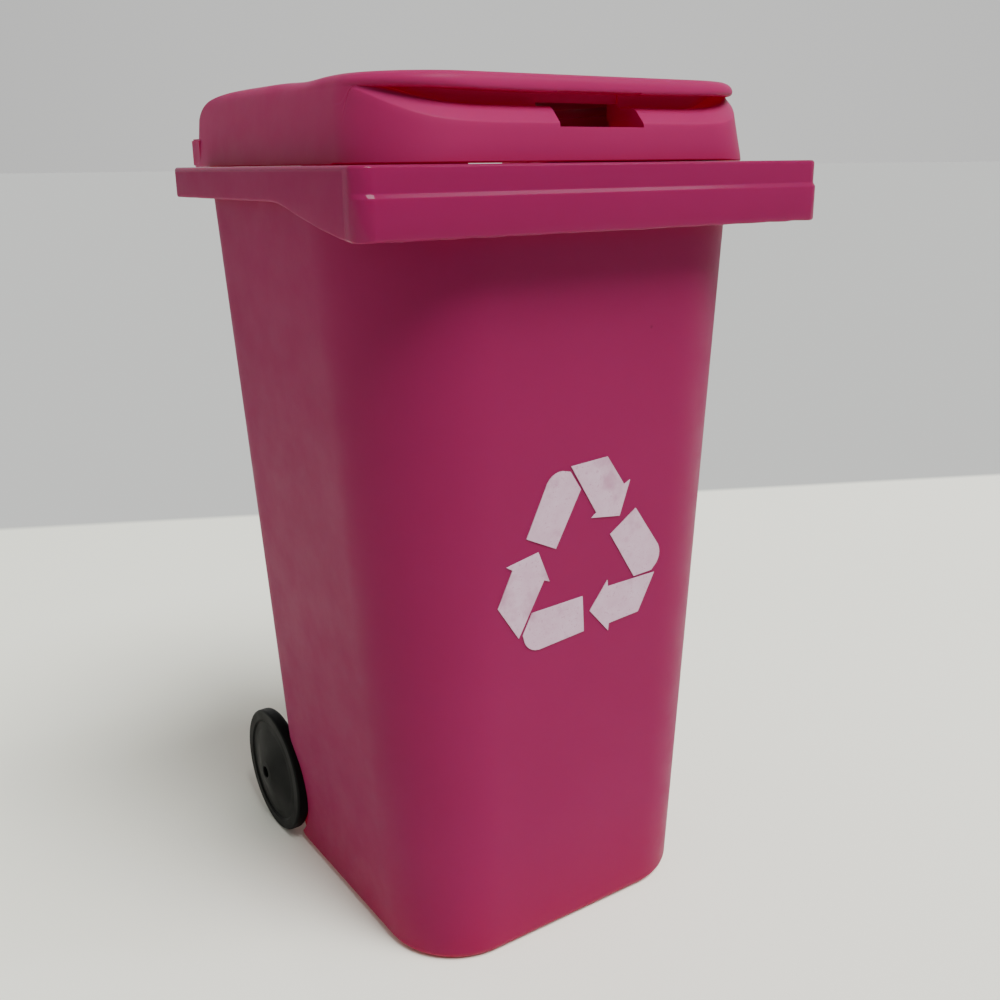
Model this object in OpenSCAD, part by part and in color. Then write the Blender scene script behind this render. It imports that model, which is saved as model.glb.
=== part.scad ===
// Miniature wheeled bin: a tapered tub with a hinged visor lid, two wheels on
// an axle behind the foot, and a three-arrow loop printed on the front.
// +X is the bin's left-to-right, -Y its front, +Z up. Millimetres.
// The origin is the centre of the flat underside.

/* [Tub] */
// Height of the top of the rim above the ground
rim_height = 110; // [90:1:140]
// Width of the foot, left to right
foot_width = 49.8; // [44:0.2:56]
// Depth of the foot, front to back
foot_depth = 47.4; // [42:0.2:54]
// Width of the tub at the rim
mouth_width = 63.2; // [58:0.2:66]
// How much further forward the front wall is at the rim than at the foot
front_lean = 3.6; // [1:0.1:4.5]
// Radius of the front upright corners at the foot
front_radius_foot = 11.4; // [8:0.2:13]
// Radius of the front upright corners at the rim
front_radius_rim = 16; // [10:0.2:18]
// Radius of the rear upright corners
rear_radius = 6; // [4:0.2:8]
// Thickness of the moulded walls
wall = 1.4; // [1.2:0.1:1.8]
// Rounding of the edge round the foot
foot_round = 1.6; // [0.8:0.1:2]

/* [Rim] */
// Width of the rim, left to right
rim_width = 70.2; // [68:0.2:74]
// Distance from the tub's middle to the rim's front face
rim_front = 32.1; // [31:0.1:34]
// Distance from the tub's middle to the rim's rear face
rim_rear = 24; // [23.8:0.1:25]
// Drop of the deep skirt at the front
skirt_deep = 7.8; // [6:0.1:10]
// Drop of the shallow skirt along the sides and the back
skirt_shallow = 4; // [3:0.1:5]
// Thickness of the skirt
skirt_wall = 1.2; // [1:0.1:1.5]
// Set-back of the upper band on the rim's front face
band_step = 0.4; // [0.2:0.1:0.6]

/* [Lid] */
// Width of the lid along its lower edge
lid_width = 60; // [58:0.2:62]
// Distance from the tub's middle to the lid's front
lid_front = 27.8; // [27:0.1:29]
// Height of the closed lid's crown above the ground
lid_top = 120; // [118:0.5:122]
// How far the front and rear walls of the lid stop short of its side walls
lid_gap = 0.2; // [0.15:0.05:0.6]
// Radius of the lid's front corners along its lower edge
lid_front_radius = 10.4; // [9:0.2:12]
// How much larger that radius is at the crown
lid_radius_growth = 2.2; // [0:0.2:3]
// Height of the finger recess under the visor
recess_height = 3.5; // [3.2:0.1:4]
// Width of the notch in the recess
notch_width = 12.9; // [10:0.1:16]
// Distance of the notch from the lid's middle
notch_offset = 0.65; // [-1:0.05:1]

/* [Hinge] */
// Distance from the tub's middle to the hinge axis
hinge_y = 28.5; // [28:0.1:29]
// Height of the hinge axis above the rim
hinge_rise = 2.2; // [2.1:0.05:2.4]
// Radius of the hinge barrels
barrel_r = 1.7; // [1.6:0.05:1.75]
// Radius of the hinge rod
rod_r = 0.8; // [0.7:0.05:0.9]
// Width of the tub's hinge barrel
tub_barrel = 28; // [20:0.5:34]

/* [Wheels] */
// Radius of the wheels
wheel_r = 10.5; // [10:0.1:11]
// Distance from the tub's middle back to the axle
axle_y = 26; // [25.6:0.1:27]
// Distance between the outer faces of the two wheels
wheel_track = 53.6; // [53:0.2:56]
// Width of a wheel's tread
wheel_thick = 2; // [1.8:0.1:2.6]
// Radius of the axle
axle_r = 1.2; // [1:0.05:1.4]
// Clearance between a wheel and its arch
arch_gap = 0.8; // [0.6:0.1:2]

/* [Print] */
// Height of the middle of the printed loop, measured up the front wall
loop_height = 58.6; // [45:0.2:75]
// Distance of the loop from the tub's middle
loop_offset = -0.3; // [-2:0.1:2]
// Size of the loop compared with its full drawing
loop_scale = 1; // [0.7:0.05:1.2]
// Thickness of the ink
ink = 0.12; // [0.1:0.01:0.2]

/* [Hidden] */

CORNER_FN = 48;            // facets of a full turn on blended shells
ROUND_FN = 96;             // facets of a full turn on true cylinders
EPS = 0.01;                // thickness of the slices that a shell is blended from
RUN = 0.06;                // radial clearance of a part that turns
SEAT = 0.02;               // radial clearance of a part that is pushed home

foot_half = foot_width / 2;
mouth_half = mouth_width / 2;
foot_y = foot_depth / 2;
lean_angle = atan(front_lean / rim_height);
floor_thick = 1.8;

hinge_z = rim_height + hinge_rise;
lid_half = lid_width / 2;
lid_rear = hinge_y;
lid_base = rim_height + 0.05;      // the side walls of the closed lid all but touch
lid_wall = 1.4;
lid_rear_radius = 1;
bar_back = 1.6;                    // how far the hinge bar stands behind the axis
barrel_gap = 0.3;          // side gap between the tub's barrel and the lid's
lid_swing_gap = 0.4;       // gap between the tub's barrel and the lid's rear wall

recess_base = lid_base + 4.6;      // wall's top edge, in the middle of the front
recess_roof = recess_base + recess_height;
recess_back = lid_front - 5;       // distance of the recess's back wall
ledge_depth = 1.7;                 // the bevel behind the wall's top edge
ledge_rise = 1.6;
notch_drop = 0.6;                  // the notch's floor lies this far below the wall's top edge

wheel_out = wheel_track / 2;
wheel_in = wheel_out - wheel_thick;
arch_r = wheel_r + arch_gap;
arch_face = wheel_in - 1.5;
hub_proud = 1.2;                   // the wheel's coned face rises this far to its hub
boss_back = 1;                     // the boss on a wheel's inner side
axle_half = wheel_out - 0.6;
bead_r = axle_r + 0.22;            // snap bead near each end of the axle
bead_at = wheel_out - 1.7;

// Points of an arc, from angle a0 to a1
function arc(cx, cy, r, a0, a1, n = 8) =
    [for (i = [0:n]) [cx + r * cos(a0 + (a1 - a0) * i / n), cy + r * sin(a0 + (a1 - a0) * i / n)]];

// Outline with its own radii at the front (-Y) and at the rear
function outline(half, front, rear, rf, rr) = concat(
    arc(half - rr, rear - rr, rr, 0, 90),
    arc(-half + rr, rear - rr, rr, 90, 180),
    arc(-half + rf, -front + rf, rf, 180, 270),
    arc(half - rf, -front + rf, rf, 270, 360));

function at_height(low, high, z) = low + (high - low) * z / rim_height;

// One thin slice of a blended shell: its four corner discs
module slice(half, front, rear, rf, rr, z) {
    for (side = [-1, 1]) {
        translate([side * (half - rf), -front + rf, z])
            cylinder(r = rf, h = EPS, $fn = CORNER_FN);
        translate([side * (half - rr), rear - rr, z])
            cylinder(r = rr, h = EPS, $fn = CORNER_FN);
    }
}

// Slice of the tub at height z, drawn in by inset
module tub_slice(z, inset) {
    slice(at_height(foot_half, mouth_half, z) - inset,
          foot_y + at_height(0, front_lean, z) - inset,
          foot_y - inset,
          at_height(front_radius_foot, front_radius_rim, z) - inset,
          rear_radius - inset, z);
}

// Outside of the tub, with the rounded edge round its foot
module tub_outside() {
    hull() {
        for (a = [0:22.5:90])
            tub_slice(foot_round * (1 - cos(a)), foot_round * (1 - sin(a)));
        tub_slice(rim_height - EPS, 0);
    }
}

module tub_inside() {
    hull() {
        translate([0, 0, floor_thick])
            tub_slice(0, wall);
        translate([0, 0, 1])
            tub_slice(rim_height, wall);
    }
}

// Cylinder along X through the axle, from x = from outwards on both sides
module arch_space(r, from) {
    for (side = [-1, 1])
        translate([side * from, axle_y, wheel_r])
            rotate([0, side * 90, 0])
                cylinder(r = r, h = 20, $fn = ROUND_FN);
}

// Rim plate and the skirt that hangs from it
module rim() {
    difference() {
        translate([0, 0, rim_height - skirt_deep])
            linear_extrude(skirt_deep)
                polygon(outline(rim_width / 2, rim_front, rim_rear, 2.2, 1));
        translate([0, 0, rim_height - skirt_deep - 1])
            linear_extrude(skirt_deep + 1 - wall)
                polygon(outline(rim_width / 2 - skirt_wall, rim_front - skirt_wall,
                                foot_y - wall / 2, 1, 0.5));
        skirt_side_cut();
        rim_front_band_cut();
    }
}

// The skirt rises from its deep front to its shallow sides and back
module skirt_side_cut() {
    low = rim_height - skirt_deep - 1;
    high = rim_height - skirt_shallow;
    translate([-rim_width, 0, 0])
        rotate([90, 0, 90])
            linear_extrude(2 * rim_width)
                polygon([[-29.2, low], [-29.2, rim_height - skirt_deep], [-27.6, low + 1.35],
                         [-12.4, high - 0.3], [-10, high], [40, high], [40, low]]);
}

// The upper band of the front face is set back, with a bevel below it
module rim_front_band_cut() {
    bevel_low = rim_height - 3.5;
    bevel_high = rim_height - 2.9;
    translate([-rim_width, 0, 0])
        rotate([90, 0, 90])
            linear_extrude(2 * rim_width)
                polygon([[-rim_front, bevel_low], [-rim_front + band_step, bevel_high],
                         [-rim_front + band_step, rim_height + 1], [-rim_front - 1, rim_height + 1],
                         [-rim_front - 1, bevel_low]]);
}

// Arm and barrel that carry the hinge rod behind the rim
module tub_hinge() {
    arm_half = 1.05;
    root_y = foot_y - wall / 2;
    root_z = rim_height - 1.6;
    slope = atan2(hinge_z - root_z, hinge_y - root_y);
    reach = norm([hinge_y - root_y, hinge_z - root_z]);
    translate([-tub_barrel / 2, 0, 0])
        rotate([90, 0, 90])
            linear_extrude(tub_barrel)
                translate([root_y, root_z])
                    rotate(slope)
                        translate([-0.6, -arm_half])
                            square([reach + 0.6, 2 * arm_half]);
    along_x(tub_barrel, hinge_y, hinge_z)
        cylinder(r = barrel_r, h = tub_barrel, $fn = ROUND_FN);
}

// Puts a cylinder of length len along X, centred, at y, z
module along_x(len, y, z) {
    translate([-len / 2, y, z])
        rotate([0, 90, 0])
            children();
}

// Two lugs on the rear wall that hold the axle
module axle_lugs() {
    lug_r = 2.7;
    lug_w = 5;
    for (side = [-1, 1])
        translate([side * (arch_face - lug_w / 2) - lug_w / 2, 0, 0]) {
            translate([0, axle_y, wheel_r])
                rotate([0, 90, 0])
                    cylinder(r = lug_r, h = lug_w, $fn = ROUND_FN);
            translate([0, foot_y - wall / 2, wheel_r - lug_r])
                cube([lug_w, axle_y - foot_y + wall / 2, 2 * lug_r]);
        }
}

module tub() {
    color("mediumvioletred")
        difference() {
            union() {
                difference() {
                    tub_outside();
                    difference() {
                        tub_inside();
                        arch_space(arch_r + wall, arch_face - wall);
                    }
                    arch_space(arch_r, arch_face);
                }
                difference() {
                    rim();
                    tub_inside();
                }
                tub_hinge();
                axle_lugs();
            }
            along_x(tub_barrel + 2, hinge_y, hinge_z)
                cylinder(r = rod_r + RUN, h = tub_barrel + 2, $fn = ROUND_FN);
            along_x(2 * arch_face + 2, axle_y, wheel_r)
                cylinder(r = axle_r + SEAT, h = 2 * arch_face + 2, $fn = ROUND_FN);
        }
}

// One slice of the lid: its height, how far it is drawn in, and its rear edge
module lid_slice(z, inset, rear) {
    grown = lid_front_radius + lid_radius_growth * (z - lid_base) / (lid_top - lid_base);
    slice(lid_half - inset, lid_front - inset, rear, grown - inset * 0.5, lid_rear_radius, z);
}

// The lid's shell, crowned and falling away towards the hinge
module lid_outside() {
    hull() {
        lid_slice(lid_base, 0, lid_rear);
        lid_slice(lid_top - 2.5, 0.8, lid_rear - 0.3);
        lid_slice(lid_top - 1.4, 0.95, lid_rear - 2);
        lid_slice(lid_top - 0.75, 1.2, lid_rear - 5);
        lid_slice(lid_top - 0.4, 1.6, lid_rear - 8.5);
        lid_slice(lid_top - 0.2, 2.4, lid_rear - 12);
        lid_slice(lid_top - 0.1, 6, lid_rear - 20);
    }
}

// The visor: a flatter plate with crisp edges that stands a little above the crown
module lid_visor() {
    rear = 2;
    hull() {
        lid_slice(recess_roof, 0.85, -rear);
        lid_slice(lid_top - 0.75, 1, -rear);
        lid_slice(lid_top - 0.5, 1.15, -rear - 1);
        lid_slice(lid_top - 0.3, 1.7, -rear - 2);
        lid_slice(lid_top - 0.1, 4, -rear - 3);
        lid_slice(lid_top - EPS, 8, -rear - 4);
    }
}

module lid_inside() {
    hull() {
        lid_slice(lid_base - 1, lid_wall, lid_rear - lid_wall);
        lid_slice(lid_top - 3.8, lid_wall + 0.7, lid_rear - lid_wall - 1);
        lid_slice(lid_top - 2, 4, lid_rear - 8);
        lid_slice(lid_top - 1.65, 8, lid_rear - 16);
    }
}

// Height of the front wall's top edge above its middle, x from the middle: level,
// then rising faster and faster round the corners until it meets the visor
function brim_rise(x) = recess_height * pow(max(0, abs(x) - 8) / 21, 3.2);

// Front view of the recess under the visor, grown by g on every side
module recess_shape(g) {
    half = lid_half - 1;
    step = 1;
    polygon(concat([for (x = [-half:step:half]) [x * (half + g) / half, recess_base + brim_rise(x) - g]],
                   [[half + g, recess_roof + g + EPS], [-half - g, recess_roof + g + EPS]]));
}

// The recess: open to the front, with a ledge that slopes up inwards
module recess(g) {
    rear = 17.5;
    low = recess_base - g;
    intersection() {
        translate([0, -rear + g, 0])
            rotate([90, 0, 0])
                linear_extrude(20)
                    recess_shape(g);
        translate([-lid_half - 5, 0, 0])
            rotate([90, 0, 90])
                linear_extrude(lid_width + 10)
                    polygon([[-lid_front - 3, low - 1], [-lid_front + 0.4, low],
                             [-lid_front + 0.4 + ledge_depth, low + ledge_rise],
                             [-rear + g, low + ledge_rise + 0.6], [-rear + g, recess_roof + g],
                             [-lid_front - 3, recess_roof + g]]);
        difference() {
            translate([-lid_half - 5, -lid_front - 5, low - 1])
                cube([lid_width + 10, lid_front + 5, recess_height + 2 * g + 2]);
            translate([0, 0, low - 2])
                linear_extrude(recess_height + 2 * g + 4)
                    polygon(outline(lid_half - 2.8 - g, recess_back - g, 10, 9, 1));
        }
    }
}

// Level-floored notch through the ledge, and the slot behind it
module notch() {
    slot_height = 2.9;
    floor_z = recess_base - notch_drop;
    translate([notch_offset - notch_width / 2, -lid_front - 1, floor_z])
        cube([notch_width, lid_front - recess_back + 1, recess_roof - floor_z]);
    translate([notch_offset - notch_width / 2, -recess_back - 1, floor_z])
        cube([notch_width, 5, slot_height]);
}

// Solid floor and sides round the notch
module notch_surround() {
    skin = 1.2;
    translate([notch_offset - notch_width / 2 - skin, -lid_front, recess_base - notch_drop - skin])
        cube([notch_width + 2 * skin, lid_front - recess_back + skin, recess_height + notch_drop + skin]);
}

// Square bar along the lid's rear edge that holds the hinge rod
module lid_hinge_bar() {
    translate([-lid_half + 0.05, lid_rear - 2, lid_base])
        cube([lid_width - 0.1, 2 + bar_back, hinge_z + barrel_r - lid_base]);
}

// The front and rear walls stop short of the rim that the side walls rest on
module lid_relief() {
    rear_half = 25;
    translate([-lid_half - 1, -lid_front - 1, lid_base - 1])
        cube([lid_width + 2, lid_front_radius + 1, 1 + lid_gap]);
    translate([-rear_half, lid_rear - 4, lid_base - 1])
        cube([2 * rear_half, 8, 1 + lid_gap]);
}

module lid() {
    clear_half = tub_barrel / 2 + barrel_gap;
    swing_r = barrel_r + lid_swing_gap;
    color("deeppink")
        difference() {
            union() {
                difference() {
                    union() {
                        lid_outside();
                        lid_visor();
                    }
                    difference() {
                        lid_inside();
                        recess(1.2);
                        notch_surround();
                    }
                    recess(0);
                    notch();
                }
                lid_hinge_bar();
            }
            lid_relief();
            translate([-clear_half, hinge_y - swing_r - 0.6, lid_base - 1])
                cube([2 * clear_half, 2 * swing_r + 2, hinge_z + swing_r - lid_base + 1]);
            translate([-lid_half + 1.4, hinge_y, hinge_z])
                rotate([0, 90, 0])
                    cylinder(r = rod_r + SEAT, h = lid_width, $fn = ROUND_FN);
        }
}

module hinge_rod() {
    start = -lid_half + 1.6;
    color("dimgray")
        translate([start, hinge_y, hinge_z])
            rotate([0, 90, 0])
                cylinder(r = rod_r, h = lid_half - 0.6 - start, $fn = ROUND_FN);
}

// Axle with a snap bead near each end
module axle() {
    color("silver")
        along_x(2 * axle_half, axle_y, wheel_r)
            rotate_extrude($fn = ROUND_FN)
                polygon([[0, 0], [axle_r - 0.3, 0], [axle_r, 0.3],
                         [axle_r, axle_half - bead_at - 0.3], [bead_r, axle_half - bead_at],
                         [axle_r, axle_half - bead_at + 0.3],
                         [axle_r, axle_half + bead_at - 0.3], [bead_r, axle_half + bead_at],
                         [axle_r, axle_half + bead_at + 0.3],
                         [axle_r, 2 * axle_half - 0.3], [axle_r - 0.3, 2 * axle_half],
                         [0, 2 * axle_half]]);
}

// Half section of a wheel: radius against distance out from its inner face
module wheel_section() {
    edge = 0.4;
    t = wheel_thick;
    bore = axle_r + RUN;
    groove = bead_r + RUN;
    bead = bead_at - wheel_in;
    bore_end = axle_half - wheel_in + 0.15;
    polygon(concat(
        [[bore, -boss_back], [2.6, -boss_back], [2.6, 0], [wheel_r - 2.2, 0], [wheel_r - 2.2, -0.2]],
        arc(wheel_r - 0.7, 0.5, 0.7, -90, 0, 5),
        arc(wheel_r - edge, t - edge, edge, 0, 90, 6),
        [[wheel_r - 1.7, t], [wheel_r - 2, t - 0.25], [wheel_r - 3.2, t - 0.1], [2, t + hub_proud],
         [1.2, t + hub_proud + 0.1], [1, t + hub_proud], [0.9, t + 0.3], [0, t + 0.3],
         [0, bore_end], [bore, bore_end],
         [bore, bead + 0.36], [groove, bead + 0.06], [groove, bead - 0.06], [bore, bead - 0.36]]));
}

module wheel(side) {
    color([0.15, 0.15, 0.15])
        translate([side * wheel_in, axle_y, wheel_r])
            rotate([0, side * 90, 0])
                rotate_extrude($fn = ROUND_FN)
                    wheel_section();
}

// One arrow of the loop, drawn where it sits at the top: a bar that is rounded
// where it folds over, and the arrowed segment that it turns into
module loop_arrow() {
    fold_r = 2.6;
    polygon(concat([[-9.5, 4.9], [-4.7, 2.6], [-0.8, 10.2], [-2.6, 12.9]],
                   arc(-4.1, 10.6, fold_r, 70, 150, 6)));
    polygon([[-2.5, 13.6], [3.6, 14], [6.7, 9.6], [7.7, 10.1], [6.1, 5.2], [1.2, 5.8], [2, 6.4]]);
}

module print_arrow(turn) {
    color("white")
        translate([0, -foot_y, 0])
            rotate([90 + lean_angle, 0, 0])
                translate([loop_offset, loop_height, EPS])
                    linear_extrude(ink)
                        scale(loop_scale)
                            rotate(turn)
                                loop_arrow();
}

tub();
lid();
hinge_rod();
axle();
wheel(-1);  // wheel_left
wheel(1);  // wheel_right
print_arrow(0);  // print_arrow_top
print_arrow(-120);  // print_arrow_right
print_arrow(120);  // print_arrow_left
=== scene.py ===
"""A miniature pink wheelie bin: refined mouldings, plastics, ink and a plain pale stage."""
import math

import bmesh
import bpy
from mathutils import Matrix, Vector


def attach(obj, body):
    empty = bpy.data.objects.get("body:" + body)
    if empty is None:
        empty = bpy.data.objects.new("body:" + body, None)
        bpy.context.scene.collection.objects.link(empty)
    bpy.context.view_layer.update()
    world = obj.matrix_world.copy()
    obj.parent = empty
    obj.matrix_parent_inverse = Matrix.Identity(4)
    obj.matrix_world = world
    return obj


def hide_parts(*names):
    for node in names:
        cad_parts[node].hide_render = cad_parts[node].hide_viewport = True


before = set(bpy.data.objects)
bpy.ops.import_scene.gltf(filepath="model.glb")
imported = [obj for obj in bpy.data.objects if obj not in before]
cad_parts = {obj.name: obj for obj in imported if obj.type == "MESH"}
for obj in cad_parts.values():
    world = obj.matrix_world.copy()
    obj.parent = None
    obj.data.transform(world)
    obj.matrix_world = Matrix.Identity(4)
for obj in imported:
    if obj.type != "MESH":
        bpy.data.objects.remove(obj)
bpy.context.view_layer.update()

MM = 0.001

# Sizes of the tub moulding, in millimetres
RIM_Z = 110.0
FOOT_HALF, FOOT_Y = 24.9, 23.7
MOUTH_HALF, LEAN = 31.6, 3.6
R_FOOT, R_MOUTH, R_REAR = 11.4, 16.0, 6.0
WALL, FLOOR, FOOT_ROUND = 1.4, 1.8, 1.6
RIM_HALF, RIM_FRONT, RIM_REAR = 35.1, 32.1, 24.0
R_RIM_FRONT, R_RIM_REAR = 2.2, 1.0
SKIRT_WALL, PLATE, BAND_STEP = 1.2, 1.5, 0.4
AXLE_Y, WHEEL_R, AXLE_BORE = 26.0, 10.5, 1.22
ARCH_R, ARCH_FACE = 11.3, 23.3
HINGE_Y, HINGE_Z, BARREL_R, ROD_BORE = 28.5, 112.2, 1.7, 0.86
TUB_BARREL, ARM_HALF = 28.0, 1.05
RIM_ROUND = 0.42
BOSS_R, BOSS_LONG, BLOCK_HALF = 2.7, 5, 2.69
# Somewhere well outside the mouldings, for cuts that go right through
OUTSIDE = 40

# Sizes of the lid moulding
LID_HALF, LID_FRONT, LID_REAR = 30.0, 27.8, 28.5
R_LID_FRONT, R_LID_REAR = 10.4, 1.0
LID_BASE, LID_RELIEF = 110.02, 0.13
BRIM_Z, ROOF_Z, ROOF_LIFT = 114.65, 118.3, 0.3
ROOF_SAG = 0.45
RECESS, LEDGE_RISE, LEDGE_DEPTH = 5.0, 1.6, 1.7
NOTCH_W, NOTCH_X, NOTCH_Z, SLOT_TOP = 12.9, 0.65, 114.05, 117.0
BAR_BACK, BAR_TOP, BAR_ROUND = 1.6, 113.9, 0.25
LID_SKIN, LID_BORE = 1.4, 0.82
# Beyond this x the front wall reaches the rim again
GAP_END = 25


# ---------------------------------------------------------------- geometry
def lerp(a, b, t):
    return a + (b - a) * t


def smooth(t):
    t = max(0.0, min(1.0, t))
    return t * t * (3 - 2 * t)


def knots(table, x):
    """Piecewise linear value of a short table of (x, value) rows."""
    if x <= table[0][0]:
        return table[0][1]
    for (x0, low), (x1, high) in zip(table, table[1:]):
        if x <= x1:
            return lerp(low, high, (x - x0) / (x1 - x0))
    return table[-1][1]


def curve(table, steps):
    """Rows of a Catmull-Rom curve through the rows of a table, end rows kept."""
    rows = [table[0]] + list(table) + [table[-1]]
    out = []
    for i in range(1, len(rows) - 2):
        p0, p1, p2, p3 = rows[i - 1 : i + 3]
        for s in range(steps):
            t = s / steps
            out.append(tuple(
                0.5 * (2 * b + (c - a) * t + (2 * a - 5 * b + 4 * c - d) * t * t
                       + (3 * b - a - 3 * c + d) * t ** 3)
                for a, b, c, d in zip(p0, p1, p2, p3)))
    out.append(tuple(table[-1]))
    return out


def outline(half, front, rear, rf, rr, counts=(20, 44, 10, 24, 44)):
    """Closed outline, anticlockwise from the front right corner: (x, y, normal x, normal y).
    counts are the steps of a front corner, a side, a rear corner, the rear and the front."""
    n_fc, n_side, n_rc, n_rear, n_front = counts
    pts = []

    def arc(cx, cy, r, start, n):
        for i in range(n):
            a = math.radians(start + 90 * i / n)
            pts.append((cx + r * math.cos(a), cy + r * math.sin(a), math.cos(a), math.sin(a)))

    def line(x0, y0, x1, y1, nx, ny, n):
        for i in range(n):
            pts.append((lerp(x0, x1, i / n), lerp(y0, y1, i / n), nx, ny))

    arc(half - rf, -front + rf, rf, -90, n_fc)
    line(half, -front + rf, half, rear - rr, 1, 0, n_side)
    arc(half - rr, rear - rr, rr, 0, n_rc)
    line(half - rr, rear, -half + rr, rear, 0, 1, n_rear)
    arc(-half + rr, rear - rr, rr, 90, n_rc)
    line(-half, rear - rr, -half, -front + rf, -1, 0, n_side)
    arc(-half + rf, -front + rf, rf, 180, n_fc)
    line(-half + rf, -front, half - rf, -front, 0, -1, n_front)
    return pts


def mesh_object(name, verts, faces):
    mesh = bpy.data.meshes.new(name)
    mesh.from_pydata([Vector(v) * MM for v in verts], [], faces)
    bm = bmesh.new()
    bm.from_mesh(mesh)
    bmesh.ops.recalc_face_normals(bm, faces=bm.faces)
    bm.to_mesh(mesh)
    bm.free()
    obj = bpy.data.objects.new(name, mesh)
    bpy.context.scene.collection.objects.link(obj)
    return obj


def loft(name, rings, closed=False):
    """Closed solid through rings of equal length: capped at both ends, or joined end to start."""
    n = len(rings[0])
    verts = [p for ring in rings for p in ring]
    faces = []
    last = len(rings) if closed else len(rings) - 1
    for j in range(last):
        k = (j + 1) % len(rings)
        for i in range(n):
            m = (i + 1) % n
            faces.append((j * n + i, j * n + m, k * n + m, k * n + i))
    if not closed:
        faces.append(tuple(reversed(range(n))))
        faces.append(tuple(range((len(rings) - 1) * n, len(rings) * n)))
    return mesh_object(name, verts, faces)


def box_object(name, low, high, bevel=0.0):
    x0, y0, z0 = low
    x1, y1, z1 = high
    verts = [(x, y, z) for z in (z0, z1) for y in (y0, y1) for x in (x0, x1)]
    faces = [(0, 2, 3, 1), (4, 5, 7, 6), (0, 1, 5, 4), (2, 6, 7, 3), (0, 4, 6, 2), (1, 3, 7, 5)]
    obj = mesh_object(name, verts, faces)
    if bevel:
        bm = bmesh.new()
        bm.from_mesh(obj.data)
        bmesh.ops.bevel(bm, geom=bm.edges[:], offset=bevel * MM, segments=3, affect="EDGES")
        bm.to_mesh(obj.data)
        bm.free()
    return obj


def rod_object(name, x0, x1, y, z, r, steps=96):
    rings = [[(x, y + r * math.cos(2 * math.pi * i / steps), z + r * math.sin(2 * math.pi * i / steps))
              for i in range(steps)] for x in (x0, x1)]
    return loft(name, rings)


def prism_x(name, x0, x1, yz):
    return loft(name, [[(x, y, z) for y, z in yz] for x in (x0, x1)])


def combine(obj, other, operation):
    """obj becomes the exact union with, difference from or intersection with other."""
    mod = obj.modifiers.new("cut", "BOOLEAN")
    mod.operation = operation
    mod.solver = "EXACT"
    mod.object = other
    graph = bpy.context.evaluated_depsgraph_get()
    made = bpy.data.meshes.new_from_object(obj.evaluated_get(graph))
    obj.modifiers.clear()
    obj.data = made
    bpy.data.objects.remove(other)
    return obj


def finish_mesh(obj, angle=32):
    """Join split points, drop slivers, and shade smooth except across sharp edges."""
    bm = bmesh.new()
    bm.from_mesh(obj.data)
    bmesh.ops.remove_doubles(bm, verts=bm.verts, dist=0.002 * MM)
    bmesh.ops.dissolve_degenerate(bm, edges=bm.edges, dist=0.001 * MM)
    bm.to_mesh(obj.data)
    bm.free()
    for face in obj.data.polygons:
        face.use_smooth = True
    obj.data.set_sharp_from_angle(angle=math.radians(angle))


# ---------------------------------------------------------------- tub
def tub_ring(z, inset=0.0, at=None):
    """Ring of the tub's outline as it is at height z, drawn in by inset."""
    t = z / RIM_Z
    pts = outline(lerp(FOOT_HALF, MOUTH_HALF, t) - inset, FOOT_Y + LEAN * t - inset, FOOT_Y - inset,
                  lerp(R_FOOT, R_MOUTH, t) - inset, R_REAR - inset)
    return [(x, y, z if at is None else at) for x, y, _, _ in pts]


def tub_walls():
    rings = []
    for i in range(9):
        a = math.pi / 2 * i / 8
        z = FOOT_ROUND * (1 - math.cos(a))
        rings.append(tub_ring(z, FOOT_ROUND * (1 - math.sin(a))))
    rings += [tub_ring(z) for z in (5, 12, 20, 30, 40, 50, 60, 70, 80, 90, 98, 104, 109.2)]
    return loft("tub_shell", rings)


def tub_cavity():
    rings = [tub_ring(FLOOR, WALL + 1.2), tub_ring(FLOOR + 0.35, WALL + 0.35), tub_ring(FLOOR + 1.2, WALL)]
    rings += [tub_ring(z, WALL) for z in (20, 40, 60, 80, 95, 105, 109.5)]
    rings += [tub_ring(109.8, WALL - 0.08), tub_ring(109.95, WALL - 0.25), tub_ring(110, WALL - 0.45),
              tub_ring(110, WALL - 0.45, 113)]
    return loft("cavity", rings)


# Height of the skirt's lower edge against y, from its deep front to its shallow sides
SKIRT_LINE = [(-31, 102.2), (-30.2, 102.25), (-27.7, 102.5), (-23, 103.3), (-17.9, 104.4),
              (-12.9, 105.6), (-12, 105.8), (-11, 105.93), (-9.6, 106.0)]


def flash(x, y):
    """Ragged moulding flash along the skirt's lower edge: a small drop at this place."""
    ragged = 0.03 * math.sin(x * 1.9 + 1) * math.sin(x * 0.7) + 0.02 * math.sin(x * 5.3 + y)
    nib = 0.22 * math.exp(-((x - 3.2) / 0.25) ** 2) + 0.12 * math.exp(-((x - 14.0) / 0.35) ** 2)
    return (ragged - nib) if y < -29 else ragged * 0.4


def rim_ring(inset, z=None, above_skirt=None, band=0.0):
    """Ring of the rim at height z, or at a distance above the skirt's lower edge.
    band pushes the front face in."""
    ring = []
    pts = outline(RIM_HALF - inset, RIM_FRONT - inset, RIM_REAR - inset,
                  max(R_RIM_FRONT - inset, 0.6), max(R_RIM_REAR - inset, 0.3))
    for x, y, _, ny in pts:
        low = knots(SKIRT_LINE, y) + flash(x, y)
        height = z if z is not None else low + above_skirt
        shift = band * smooth(-ny * 1.4) if y < 0 else 0
        ring.append((x, y + shift, height))
    return ring


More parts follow.
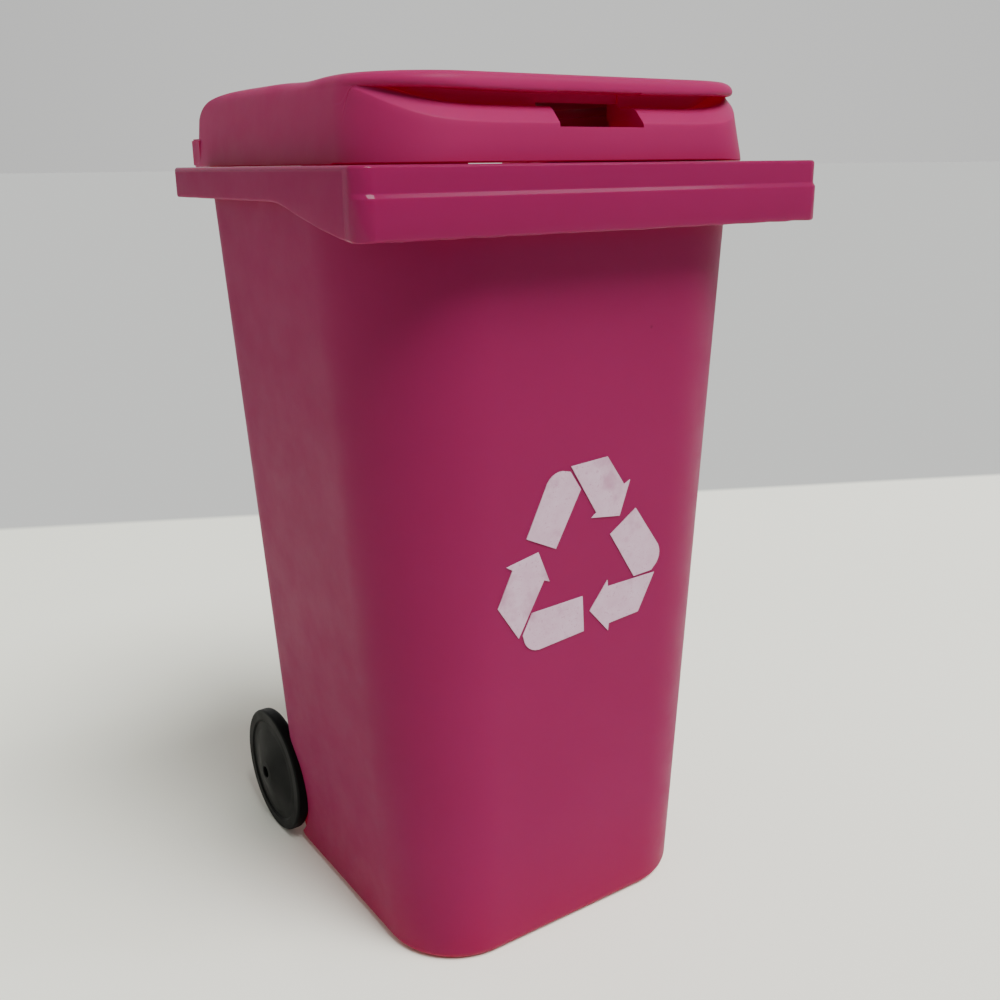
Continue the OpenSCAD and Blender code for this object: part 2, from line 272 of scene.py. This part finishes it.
def rim_solid():
    """Plate and skirt as one ring with rounded edges."""
    rings = []
    for i in range(5):
        a = math.pi / 2 * i / 4
        drop = RIM_ROUND * (1 - math.cos(a))
        rings.append(rim_ring(RIM_ROUND * (1 - math.sin(a)), RIM_Z - drop, band=BAND_STEP))
    rings.append(rim_ring(0, 108.4, band=BAND_STEP))
    step = ((107.3, 1), (107.16, 0.97), (107.06, 0.86), (106.72, 0.2), (106.6, 0.05), (106.48, 0))
    for z, band in step:
        rings.append(rim_ring(0, z, band=BAND_STEP * band))
    for inset, rise in ((0, 0.3), (0.05, 0.12), (0.16, 0.02), (0.34, 0), (SKIRT_WALL - 0.2, 0),
                        (SKIRT_WALL - 0.05, 0.06), (SKIRT_WALL, 0.22)):
        rings.append(rim_ring(inset, above_skirt=rise))
    rings.append(rim_ring(SKIRT_WALL, RIM_Z - PLATE - 0.5))
    rings.append(rim_ring(SKIRT_WALL + 0.15, RIM_Z - PLATE - 0.13))
    rings.append(rim_ring(SKIRT_WALL + 0.5, RIM_Z - PLATE))
    rings.append(tub_ring(RIM_Z, 1.6, RIM_Z - PLATE))
    rings.append(tub_ring(RIM_Z, 1.6, RIM_Z))
    return loft("rim", rings, closed=True)


def tub_hinge():
    """The arm behind the rim and the barrel that the hinge rod turns in."""
    root = (FOOT_Y - 0.7, RIM_Z - 1.6)
    d = Vector((HINGE_Y - root[0], HINGE_Z - root[1])).normalized()
    n = Vector((-d[1], d[0]))
    a, b = Vector(root) - d * 0.6, Vector((HINGE_Y, HINGE_Z))
    corners = [a - n * ARM_HALF, b - n * ARM_HALF, b + n * ARM_HALF, a + n * ARM_HALF]
    arm = prism_x("arm", -TUB_BARREL / 2, TUB_BARREL / 2, [tuple(c) for c in corners])
    barrel = rod_object("barrel", -TUB_BARREL / 2, TUB_BARREL / 2, HINGE_Y, HINGE_Z, BARREL_R)
    return combine(arm, barrel, "UNION")


def build_tub():
    tub = tub_walls()
    for side in (-1, 1):
        ends = sorted((side * ARCH_FACE, side * OUTSIDE))
        combine(tub, rod_object("arch", *ends, AXLE_Y, WHEEL_R, ARCH_R), "DIFFERENCE")
    combine(tub, rim_solid(), "UNION")
    cavity = tub_cavity()
    for side in (-1, 1):
        ends = sorted((side * (ARCH_FACE - WALL), side * OUTSIDE))
        combine(cavity, rod_object("liner", *ends, AXLE_Y, WHEEL_R, ARCH_R + WALL), "DIFFERENCE")
    combine(tub, cavity, "DIFFERENCE")
    combine(tub, tub_hinge(), "UNION")
    for side in (-1, 1):
        ends = sorted((side * ARCH_FACE, side * (ARCH_FACE - BOSS_LONG)))
        combine(tub, rod_object("boss", *ends, AXLE_Y, WHEEL_R, BOSS_R), "UNION")
        block = box_object("block", (ends[0], FOOT_Y - 0.7, WHEEL_R - BLOCK_HALF),
                           (ends[1], AXLE_Y, WHEEL_R + BLOCK_HALF))
        combine(tub, block, "UNION")
    combine(tub, rod_object("bore", -OUTSIDE, OUTSIDE, AXLE_Y, WHEEL_R, AXLE_BORE), "DIFFERENCE")
    combine(tub, rod_object("bore", -20, 20, HINGE_Y, HINGE_Z, ROD_BORE), "DIFFERENCE")
    finish_mesh(tub)
    return tub


# ---------------------------------------------------------------- lid
LID_COUNTS = (45, 56, 8, 30, 84)
# Radius of the lid's front corners against height
LID_RADII = [(110.0, 10.4), (113.0, 11.2), (116.4, 12.0), (118.1, 12.0), (119.2, 11.6)]
R_LOW, R_HIGH = 10.0, 12.0
LID_TIGHT = outline(LID_HALF, LID_FRONT, LID_REAR, R_LOW, R_LID_REAR, LID_COUNTS)
LID_WIDE = outline(LID_HALF, LID_FRONT, LID_REAR, R_HIGH, R_LID_REAR, LID_COUNTS)
# Where the recess starts, as the share of a quarter turn from the front to the side
RECESS_START = 0.80

# The plain side wall: height of its middle, and where the crown's rounding starts
PLAIN_LOW, PLAIN_TOP = 114.0, 116.5
# Inset of the visor's edge where the recess under it has run out, and the rings of that edge
LIP_INSET, LIP_RINGS = 0.88, 8
# Rings over which the visor's share turns from following the recess to following y
EDGE_RINGS = 20
# Where the visor ends on top of the lid, and how long it takes to fade in
VISOR_END, VISOR_FADE = -4.0, 9.0
# Shallow dip across the top behind the visor: depth, place and length
DIP, DIP_Y, DIP_LONG = 0.22, -6.5, 5.0
# Crown above the side walls: height, inset at the sides and front, inset at the rear
CROWN = [(116.6, 0.63, 0.12), (117.5, 0.71, 0.85), (118.3, 0.82, 2.1), (118.95, 1.02, 4.0),
         (119.45, 1.36, 7.4), (119.76, 1.85, 11.5), (119.92, 3.0, 16.5), (119.97, 7.5, 22),
         (119.99, 14, 29)]
# The visor: the same, with a crisp edge
VISOR = [(118.32, 1.60, 0.3), (118.34, 1.18, 1.2), (118.52, 0.90, 2.8), (118.88, 0.86, 5.4),
         (119.34, 1.08, 9.0), (119.74, 1.55, 12.5), (119.94, 2.6, 17), (119.99, 7.5, 22), (120.0, 14, 29)]


def lid_point(i, z, inset):
    """Place i of the lid's outline at height z, drawn in by inset."""
    t = (knots(LID_RADII, z) - R_LOW) / (R_HIGH - R_LOW)
    (x0, y0, nx, ny), (x1, y1, _, _) = LID_TIGHT[i], LID_WIDE[i]
    return (lerp(x0, x1, t) - nx * inset, lerp(y0, y1, t) - ny * inset, z)


def corner_turn(i):
    """0 where the wall faces the front, 1 where it faces the side, 2 at the rear."""
    nx, ny = LID_TIGHT[i][2:]
    return math.atan2(abs(nx), -ny) / (math.pi / 2)


def recess_share(turn):
    """1 where the wall has the whole recess, 0 where it is a plain side wall."""
    return 1 - smooth((turn - RECESS_START) / 0.10)


def recess_depth(turn):
    return RECESS * max(0.0, 1 - (turn / RECESS_START) ** 3.5)


def brim(x):
    """Height of the front wall's top edge: level, then rising round the corners to the visor."""
    return BRIM_Z + (ROOF_Z - BRIM_Z) * min(1.0, max(0.0, (abs(x) - 8) / 21.4)) ** 5.8


def wall_inset(z):
    return 0.72 * (z - 110.45) / 7.05 if z > 110.45 else 0.0


def base_z(x, y):
    """Lower edge of the lid: the side walls and the right end of the front all but reach the rim,
    and the rest of the front and the rear stop a little higher."""
    front = smooth((-y - (LID_FRONT - R_HIGH)) / 0.8) * smooth((GAP_END - x) / 5)
    rear = smooth((25.4 - abs(x)) / 0.6) if y > 26 else 0
    return LID_BASE + LID_RELIEF * max(front, rear)


def sag(x, z):
    """How much lower the visor's lip hangs in the middle than at the corners."""
    return ROOF_SAG * max(0.0, 1 - (abs(x) / 28.5) ** 2.5) * max(0.0, min(1.0, (119.4 - z) / 0.9))


def recess_rows(x, top, depth, k):
    """Lip of the wall, bevel, ledge, back wall and roof of the recess, as (inset, height).
    k is how much of the full recess there is at this place."""
    w, r = wall_inset(top), 0.25
    rows = [(w + r * (1 - math.cos(a)), top - r + r * math.sin(a)) for a in (0.25, 0.55, 0.85)]
    bevel, rise = LEDGE_DEPTH * k, LEDGE_RISE * k
    start = rows[-1]
    rows += [(lerp(start[0], w + bevel, t), lerp(start[1], top + rise, t)) for t in (0.3, 0.6, 0.9)]
    back = max(w + depth, start[0] + 0.02)
    rows += [(lerp(w + bevel, back, t) + 0.01, top + rise + (0.12 + 0.1 * t) * k)
             for t in (0.12, 0.5, 0.95)]
    high = min(top + rise + 0.3 * k, ROOF_Z)
    roof = ROOF_Z - sag(x, ROOF_Z)
    rows += [(back + 0.02, lerp(high, roof + ROOF_LIFT * k, t)) for t in (0.25, 0.6, 0.9)]
    edge = min(2.2, back)
    rows += [(lerp(back, edge, t), roof + ROOF_LIFT * (1 - 0.6 * t) * k) for t in (0.15, 0.5, 0.85, 1.0)]
    return rows


def lid_profile(i):
    """Outer profile at place i of the outline, as (inset, height), up to the visor's edge."""
    turn = corner_turn(i)
    share, depth = recess_share(turn), recess_depth(turn)
    x, y, _ = lid_point(i, LID_BASE, 0)
    low = base_z(x, y)
    top = brim(x) if turn < 1 else ROOF_Z
    out = [(0.14, low), (0.02, low + 0.14)]
    wall_top = lerp(PLAIN_LOW, top - 0.3, share)
    for n in range(1, 9):
        z = lerp(low + 0.14, wall_top, n / 8)
        out.append((wall_inset(z), z))
    rows = recess_rows(x, top, depth, depth / RECESS)
    for n, (inset, z) in enumerate(rows):
        plain = lerp(PLAIN_LOW, PLAIN_TOP, (n + 1) / len(rows))
        out.append((lerp(wall_inset(plain), inset, share), lerp(plain, z, share)))
    return out


def crown_ring(z, side, rear):
    """Ring of the lid's top at height z, drawn in by side and by rear."""
    radius = max(knots(LID_RADII, z) - side * 0.55, 2)
    return outline(LID_HALF - side, LID_FRONT - side, LID_REAR - rear, radius,
                   max(R_LID_REAR, rear * 0.15), LID_COUNTS)


def lid_outer_rings():
    """Rings from the lid's lower edge, over the recess and the visor, to the middle of its top."""
    profiles = [lid_profile(i) for i in range(len(LID_TIGHT))]
    rings = [[lid_point(i, rows[j][1], rows[j][0]) for i, rows in enumerate(profiles)]
             for j in range(len(profiles[0]))]
    crown, visor = curve(CROWN, 4), curve(VISOR, 4)
    for n, (plain, crisp) in enumerate(zip(crown, visor)):
        ring = []
        shut = crown_ring(crisp[0], min(crisp[1], LIP_INSET), crisp[2])
        for i, (a, b) in enumerate(zip(crown_ring(*plain), crown_ring(*crisp))):
            lip = min(1.0, 2.5 * recess_depth(corner_turn(i)) / RECESS) if n < LIP_RINGS else 1.0
            b = [lerp(shut[i][c], b[c], lip) for c in range(4)]
            near_edge = 1 - smooth(n / EDGE_RINGS)
            turned = recess_share(corner_turn(i))
            s = lerp(smooth((VISOR_END - a[1]) / VISOR_FADE), turned, near_edge)
            dip = DIP * math.exp(-((a[1] - DIP_Y) / DIP_LONG) ** 2) * smooth((n - 6) / 12)
            height = lerp(plain[0], crisp[0] - sag(b[0], crisp[0]), s)
            ring.append((lerp(a[0], b[0], s), lerp(a[1], b[1], s), height - dip))
        rings.append(ring)
    return rings


def lid_inner_rings():
    """Rings of the lid's hollow, from its lower edge to the middle of its ceiling."""
    base = outline(LID_HALF - LID_SKIN, LID_FRONT - LID_SKIN, LID_REAR - LID_SKIN,
                   R_LID_FRONT - LID_SKIN, R_LID_REAR, LID_COUNTS)

    def ring(row):
        out = []
        for i, (x, y, nx, ny) in enumerate(base):
            turn = corner_turn(i)
            depth = recess_depth(turn)
            k = depth / RECESS
            low = base_z(*lid_point(i, LID_BASE, 0)[:2])
            top = (brim(LID_TIGHT[i][0]) if turn < 1 else ROOF_Z) - LID_SKIN
            inner = 0.9 + (depth + 0.3) * k
            rows = [(-0.12, low), (0, low + 0.12), (0.1, lerp(low, top, 0.6)), (0.3, top),
                    (lerp(0.3, inner, 0.45), top + 0.9 * LEDGE_RISE * k + 0.05),
                    (inner, top + LEDGE_RISE * k + 0.15), (inner + 0.05, 117.7), (inner + 0.3, 118.2)]
            push, z = rows[row]
            out.append((x - nx * push, y - ny * push, z if row < 6 else max(z, top + 0.3)))
        return out

    rings = [ring(i) for i in range(8)]
    for a, b, z in ((9, 9, 118.4), (14, 16, 118.45), (18, 20, 118.5)):
        pts = outline(LID_HALF - a, LID_FRONT - a, LID_REAR - b, 4, 2, LID_COUNTS)
        rings.append([(x, y, z) for x, y, _, _ in pts])
    return rings


def cut_notch(lid):
    """Level-floored notch through the ledge, on a solid pad, and the slot behind it."""
    x0, x1 = NOTCH_X - NOTCH_W / 2, NOTCH_X + NOTCH_W / 2
    back = -LID_FRONT + RECESS + 0.7
    pad = [(-LID_FRONT + 0.7, NOTCH_Z - 1.2), (back + 1.5, NOTCH_Z - 1.2), (back + 1.5, ROOF_Z - 0.3),
           (back + 0.2, ROOF_Z - 0.3), (back + 0.2, NOTCH_Z + 1.9), (-LID_FRONT + 2.6, NOTCH_Z + 1.9),
           (-LID_FRONT + 1.1, NOTCH_Z + 0.3), (-LID_FRONT + 0.9, NOTCH_Z - 0.1)]
    combine(lid, prism_x("pad", x0 - 1.2, x1 + 1.2, pad), "UNION")
    notch = box_object("notch", (x0, -LID_FRONT - 1, NOTCH_Z), (x1, back + 0.1, ROOF_Z - 0.25))
    combine(lid, notch, "DIFFERENCE")
    slot = box_object("slot", (x0, back - 1, NOTCH_Z), (x1, back + 3.2, SLOT_TOP))
    combine(lid, slot, "DIFFERENCE")


def build_lid():
    lid = loft("lid_shell", list(reversed(lid_inner_rings())) + lid_outer_rings())
    cut_notch(lid)
    bar = box_object("bar", (-LID_HALF + 0.05, LID_REAR - 1.8, LID_BASE),
                     (LID_HALF - 0.05, LID_REAR + BAR_BACK, BAR_TOP), bevel=BAR_ROUND)
    combine(lid, bar, "UNION")
    clear = TUB_BARREL / 2 + 0.3
    swing = BARREL_R + 0.4
    combine(lid, box_object("clear", (-clear, HINGE_Y - swing - 0.6, LID_BASE - 1),
                            (clear, HINGE_Y + swing + 2, HINGE_Z + swing)), "DIFFERENCE")
    combine(lid, box_object("relief", (-25, LID_REAR - 4, LID_BASE - 1),
                            (25, LID_REAR + 4, LID_BASE + LID_RELIEF)), "DIFFERENCE")
    combine(lid, rod_object("bore", -LID_HALF + LID_SKIN, LID_HALF + 2, HINGE_Y, HINGE_Z, LID_BORE),
            "DIFFERENCE")
    finish_mesh(lid)
    return lid


# ---------------------------------------------------------------- materials
class Nodes:
    """A material's node tree, with short calls to add and link nodes."""

    def __init__(self, name):
        self.material = bpy.data.materials.new(name)
        self.material.use_nodes = True
        self.tree = self.material.node_tree
        self.shader = self.tree.nodes["Principled BSDF"]
        coords = self.tree.nodes.new("ShaderNodeTexCoord")
        self.place = coords.outputs["Object"]

    def add(self, kind, inputs=(), **settings):
        node = self.tree.nodes.new(kind)
        for key, value in settings.items():
            setattr(node, key, value)
        for key, value in dict(inputs).items():
            if isinstance(value, bpy.types.NodeSocket):
                self.tree.links.new(value, node.inputs[key])
            else:
                node.inputs[key].default_value = value
        return node

    def noise(self, scale, detail=3, roughness=0.5):
        node = self.add("ShaderNodeTexNoise", {"Vector": self.place, "Scale": scale, "Detail": detail,
                                               "Roughness": roughness})
        return node.outputs["Fac"]

    def spread(self, value, low, high, to_low=0.0, to_high=1.0):
        node = self.add("ShaderNodeMapRange", {0: value, 1: low, 2: high, 3: to_low, 4: to_high})
        return node.outputs[0]

    def blend(self, factor, a, b):
        node = self.add("ShaderNodeMix", {"Factor": factor}, data_type="RGBA")
        for socket, value in ((node.inputs[6], a), (node.inputs[7], b)):
            if isinstance(value, bpy.types.NodeSocket):
                self.tree.links.new(value, socket)
            else:
                socket.default_value = (*value, 1)
        return node.outputs[2]

    def maths(self, operation, a, b):
        return self.add("ShaderNodeMath", {0: a, 1: b}, operation=operation).outputs[0]

    def occlusion(self, distance):
        node = self.add("ShaderNodeAmbientOcclusion", {"Distance": distance})
        node.samples = 4
        return node.outputs["AO"]

    def mix(self, factor, a, b):
        return self.add("ShaderNodeMix", {0: factor, 2: a, 3: b}, data_type="FLOAT").outputs[0]

    def bump(self, heights, strength, distance):
        node = self.add("ShaderNodeBump", {"Height": heights, "Strength": strength, "Distance": distance})
        self.link(node.outputs[0], "Normal")

    def link(self, output, socket):
        self.tree.links.new(output, self.shader.inputs[socket])

    def set(self, **values):
        for key, value in values.items():
            self.shader.inputs[key.replace("_", " ")].default_value = value

    def xyz(self):
        return self.add("ShaderNodeSeparateXYZ", {0: self.place}).outputs


def with_specks(m, tone, specks):
    """The tone with a few small dark specks in it."""
    cells = m.add("ShaderNodeTexVoronoi", {"Vector": m.place, "Scale": 95.0, "Randomness": 1.0})
    dot = m.spread(cells.outputs["Distance"], 0.018, 0.035, specks, 0.0)
    few = m.spread(m.noise(60, 0), 0.60, 0.63)
    return m.blend(m.maths("MULTIPLY", dot, few), tone, (0.03, 0.003, 0.006))


def rim_mask(m, top):
    """1 on the skirt's front and above top, where the moulding is polished, else 0."""
    _, y, z = m.xyz()
    front = m.spread(y, -0.0292, -0.0288, 1.0, 0.0)
    on_rim = m.maths("MAXIMUM", front, m.spread(z, top - 0.0002, top + 0.0002))
    return m.maths("MULTIPLY", on_rim, m.spread(z, 0.1, 0.1005))


def plastic(name, colour, deep, rough_low, rough_high, gloss_above=None, specks=0.0, glow=0.0):
    """Moulded pink plastic: cloudy pigment, satin grain, faint rubs and a few dark specks.
    In creases and inside, where little light falls, the pink is painted a deeper red as painted
    shade, and a faint red painted glow stands for the light that comes through the thin walls."""
    m = Nodes(name)
    cloud = m.spread(m.noise(45, 4), 0.3, 0.7)
    tone = m.blend(cloud, deep, colour)
    if specks:
        tone = with_specks(m, tone, specks)
    # Painted shade: where little light reaches, in creases and inside, the pink is painted a deeper red
    around = m.occlusion(0.04)
    red, green, blue = colour
    shaded = (red, green * 0.3, blue * 0.5)
    tone = m.blend(m.spread(around, 0.15, 0.62, 1.0, 0.0), tone, shaded)
    m.link(tone, "Base Color")
    # Painted glow: a faint red emission in the same places stands for light coming through the thin walls
    m.link(m.spread(around, 0.05, 0.5, glow, 0.0), "Emission Strength")
    rub = m.spread(m.noise(170, 5, 0.6), 0.35, 0.7)
    rough = m.spread(rub, 0, 1, rough_low, rough_high)
    grain = m.maths("ADD", m.noise(3800, 2), m.maths("MULTIPLY", m.noise(420, 3), 0.7))
    shine = 0.06
    if gloss_above is not None:
        on_rim = rim_mask(m, gloss_above)
        rough = m.mix(on_rim, rough, m.spread(rub, 0, 1, 0.10, 0.18))
        m.link(m.mix(on_rim, shine, 0.10), "Specular IOR Level")
        grain = m.mix(on_rim, grain, m.maths("MULTIPLY", m.noise(420, 3), 0.5))
    m.link(rough, "Roughness")
    m.bump(grain, 0.10, 0.00006)
    m.set(IOR=1.49, Subsurface_Weight=0.2, Subsurface_Scale=0.0015,
          Subsurface_Radius=(1.0, 0.06, 0.14), Emission_Color=(0.9, 0.012, 0.05, 1))
    if gloss_above is None:
        m.set(Specular_IOR_Level=shine)
    return m.material


def wheel_plastic():
    m = Nodes("dark_wheel_plastic")
    cloud = m.spread(m.noise(120, 5, 0.6), 0.35, 0.65)
    m.link(m.blend(cloud, (0.0025, 0.0027, 0.0028), (0.0050, 0.0053, 0.0053)), "Base Color")
    m.link(m.spread(m.noise(260, 4), 0.3, 0.7, 0.42, 0.56), "Roughness")
    m.bump(m.noise(3000, 3), 0.12, 0.00006)
    m.set(Specular_IOR_Level=0.07)
    return m.material


def white_ink():
    """Pad-printed ink: cloudy and thin in places, with pinholes that let the pink through."""
    m = Nodes("worn_white_ink")
    cloud = m.spread(m.noise(420, 5, 0.7), 0.32, 0.68, 0.0, 0.20)
    thin = m.spread(m.noise(210, 5, 0.6), 0.52, 0.70, 0.0, 0.48)
    holes = m.spread(m.noise(3000, 2), 0.60, 0.70, 0.0, 0.45)
    wear = m.maths("MAXIMUM", m.maths("MAXIMUM", thin, cloud), holes)
    m.link(m.blend(wear, (0.55, 0.385, 0.485), (0.30, 0.08, 0.16)), "Base Color")
    m.link(m.spread(m.noise(500, 3), 0.3, 0.7, 0.5, 0.65), "Roughness")
    m.bump(m.noise(2600, 3), 0.15, 0.00005)
    m.set(Specular_IOR_Level=0.1)
    return m.material


def drawn_wire():
    m = Nodes("drawn_steel_wire")
    stretched = m.add("ShaderNodeMapping", {"Vector": m.place, "Scale": (0.05, 1, 1)})
    streak = m.add("ShaderNodeTexNoise", {"Vector": stretched.outputs[0], "Scale": 4200.0, "Detail": 4.0})
    m.link(m.blend(streak.outputs["Fac"], (0.42, 0.42, 0.43), (0.62, 0.62, 0.63)), "Base Color")
    m.link(m.spread(streak.outputs["Fac"], 0.3, 0.7, 0.24, 0.42), "Roughness")
    m.bump(streak.outputs["Fac"], 0.12, 0.00003)
    m.set(Metallic=1.0)
    return m.material


def wear_on(obj, material):
    obj.data.materials.clear()
    obj.data.materials.append(material)


# ---------------------------------------------------------------- stage, light, camera
CAMERA_AT = Vector((-88.06, -135.76, 109.92)) * MM
YAW, PITCH, ROLL = (math.radians(a) for a in (34.022, 16.941, -0.670))
LENS, SENSOR = 39.68, 36.0


def make_camera():
    ahead = Vector((math.sin(YAW) * math.cos(PITCH), math.cos(YAW) * math.cos(PITCH), -math.sin(PITCH)))
    right = Vector((math.cos(YAW), -math.sin(YAW), 0))
    up = right.cross(ahead)
    x_axis = right * math.cos(ROLL) + up * math.sin(ROLL)
    y_axis = -right * math.sin(ROLL) + up * math.cos(ROLL)
    data = bpy.data.cameras.new("camera")
    data.lens, data.sensor_width, data.clip_start = LENS, SENSOR, 0.005
    camera = bpy.data.objects.new("camera", data)
    bpy.context.scene.collection.objects.link(camera)
    matrix = Matrix((x_axis, y_axis, -ahead)).transposed().to_4x4()
    matrix.translation = CAMERA_AT
    camera.matrix_world = matrix
    bpy.context.scene.camera = camera


def sun(name, toward, strength, degrees):
    """A soft distant light that comes from the direction toward."""
    data = bpy.data.lights.new(name, "SUN")
    data.energy, data.angle = strength, math.radians(degrees)
    obj = bpy.data.objects.new(name, data)
    bpy.context.scene.collection.objects.link(obj)
    obj.rotation_euler = (-Vector(toward)).to_track_quat("-Z", "Y").to_euler()


# Light that the room's walls give back, from each direction: (direction, strength)
ROOM = (((1, 0, 0), 0.484), ((-1, 0, 0), 0.482), ((0, 1, 0), 0.603))
# Ceiling lights, large and soft: name, direction, strength, angle
SOFT_LIGHTS = (("ceiling", (0.12, -0.5, 0.858), 4.94, 30),)
# Small lamps that only show as sparkles on the glossy edges, and a wider one that draws a
# bright line along the step of the skirt
LAMPS = (("lamp_a", (0.42, -0.38, 0.83), 0.12, 2.0), ("lamp_b", (-0.14, -0.55, 0.82), 0.10, 2.0),
         ("lamp_c", (0.03, -0.07, 1.0), 0.10, 2.0), ("lamp_d", (0.60, -0.38, 0.70), 0.35, 16.0))


def room_glow(tree):
    """Strength of the room's light in each direction: the sum of one wide lobe per wall."""
    coords = tree.nodes.new("ShaderNodeTexCoord")
    total = None
    for direction, strength in ROOM:
        facing = tree.nodes.new("ShaderNodeVectorMath")
        facing.operation = "DOT_PRODUCT"
        facing.inputs[1].default_value = direction
        tree.links.new(coords.outputs["Generated"], facing.inputs[0])
        lobe = tree.nodes.new("ShaderNodeMapRange")
        lobe.inputs[4].default_value = strength
        tree.links.new(facing.outputs["Value"], lobe.inputs[0])
        if total is None:
            total = lobe.outputs[0]
            continue
        both = tree.nodes.new("ShaderNodeMath")
        tree.links.new(total, both.inputs[0])
        tree.links.new(lobe.outputs[0], both.inputs[1])
        total = both.outputs[0]
    return total


def make_light():
    world = bpy.data.worlds.new("studio")
    bpy.context.scene.world = world
    world.use_nodes = True
    tree = world.node_tree
    background = tree.nodes["Background"]
    background.inputs[0].default_value = (1.0, 1.0, 0.985, 1)
    tree.links.new(room_glow(tree), background.inputs[1])
    for light in SOFT_LIGHTS + LAMPS:
        sun(*light)


# Where the white sheet that the bin stands on ends, behind it: two points of its edge
SHEET_EDGE = ((-0.0334, 0.2308), (0.2777, 0.0815))
# The floor behind the camera, from this y on, is darker
FRONT_FLOOR, FRONT_Y = (0.22, 0.22, 0.22), -0.34


def make_stage():
    bpy.ops.mesh.primitive_plane_add(size=80)
    floor = bpy.context.object
    floor.name = "floor"
    m = Nodes("pale_floor")
    (x0, y0), (x1, y1) = SHEET_EDGE
    along = Vector((x1 - x0, y1 - y0)).normalized()
    split = m.add("ShaderNodeSeparateXYZ", {0: m.place})
    over_x = m.maths("MULTIPLY", m.maths("SUBTRACT", split.outputs[0], x0), -along.y)
    over_y = m.maths("MULTIPLY", m.maths("SUBTRACT", split.outputs[1], y0), along.x)
    beyond = m.spread(m.maths("ADD", over_x, over_y), -0.0015, 0.0025)
    cloud = m.spread(m.noise(14, 4), 0.3, 0.7, -0.03, 0.03)
    # Painted light: the sheet is painted lighter toward the front right, where more light falls on it; the
    # cloud added to it is the sheet's own uneven tone
    across = m.maths("SUBTRACT", split.outputs[0], split.outputs[1])
    light = m.maths("ADD", m.spread(across, -0.25, 0.2), cloud)
    sheet = m.blend(light, (0.81, 0.82, 0.715), (0.95, 0.945, 0.84))
    behind = m.blend(beyond, sheet, (0.437, 0.442, 0.43))
    in_front = m.spread(split.outputs[1], FRONT_Y, FRONT_Y + 0.02, 1.0, 0.0)
    m.link(m.blend(in_front, behind, FRONT_FLOOR), "Base Color")
    m.set(Roughness=0.9, Specular_IOR_Level=0.0)
    wear_on(floor, m.material)


# ---------------------------------------------------------------- the object
def place_moulding(piece, node, body, material):
    """The piece stands for the CAD node and rides on its body."""
    wear_on(piece, material)
    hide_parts(node)
    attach(piece, body)


make_camera()
make_light()
make_stage()

# Lit and shaded copies of one pink plastic: the lid's copy is painted lighter than the tub's, as painted
# light for the stronger light that falls on the lid
PINK, DEEP_PINK = (0.207, 0.0104, 0.065), (0.198, 0.0095, 0.061)
LIT_LID_PINK, LIT_LID_DEEP = (0.290, 0.0175, 0.090), (0.277, 0.0162, 0.085)
tub_plastic = plastic("pink_tub_plastic", PINK, DEEP_PINK, 0.42, 0.54,
                      gloss_above=0.1095, specks=0.5, glow=0.12)
lid_plastic = plastic("pink_lid_plastic", LIT_LID_PINK, LIT_LID_DEEP, 0.36, 0.48, glow=0.14)
place_moulding(build_tub(), "tub", "bin", tub_plastic)
place_moulding(build_lid(), "lid", "lid", lid_plastic)

wheels, wire, ink = wheel_plastic(), drawn_wire(), white_ink()
for name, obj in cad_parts.items():
    if name.startswith("wheel"):
        wear_on(obj, wheels)
    elif name.startswith("print"):
        wear_on(obj, ink)
    elif name in ("axle", "hinge_rod"):
        wear_on(obj, wire)
